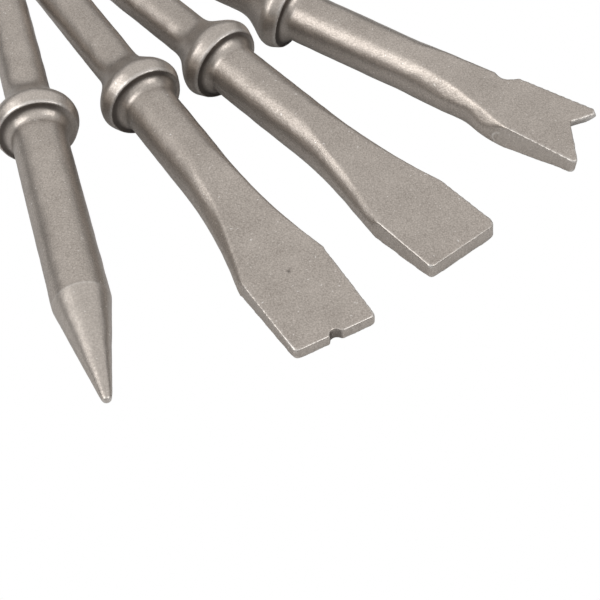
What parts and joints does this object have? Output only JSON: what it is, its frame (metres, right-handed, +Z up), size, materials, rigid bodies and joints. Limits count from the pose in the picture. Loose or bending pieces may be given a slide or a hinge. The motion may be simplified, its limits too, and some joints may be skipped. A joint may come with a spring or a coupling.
{
  "type": "air hammer chisel set",
  "caption": "Forged air hammer bits with collared round shanks: pointed punch, notched chisel, flat chisel and forked chisel, lying fanned out.",
  "frame": {"origin": "middle of the set in plan, on the bench that it lies on", "axes": "+Z up from the bench; -Y towards the side that the picture is taken from; +X to the picture's right"},
  "size_m": [0.141, 0.1476, 0.0197],
  "materials": {
    "forged_steel": "matte shot-blasted"
  },
  "bodies": {
    "flat_chisel": {"flat_chisel": "forged_steel"},
    "pointed_punch": {"pointed_punch": "forged_steel"},
    "notched_chisel": {"notched_chisel": "forged_steel"},
    "forked_chisel": {"forked_chisel": "forged_steel"}
  },
  "joints": [
    {"name": "pointed_lift", "type": "slide", "parent": "flat_chisel", "child": "pointed_punch", "axis": [0, 0, 1], "range_m": [0, 0.1]},
    {"name": "notched_lift", "type": "slide", "parent": "flat_chisel", "child": "notched_chisel", "axis": [0, 0, 1], "range_m": [0, 0.1]},
    {"name": "forked_lift", "type": "slide", "parent": "flat_chisel", "child": "forked_chisel", "axis": [0, 0, 1], "range_m": [0, 0.1]}
  ]
}
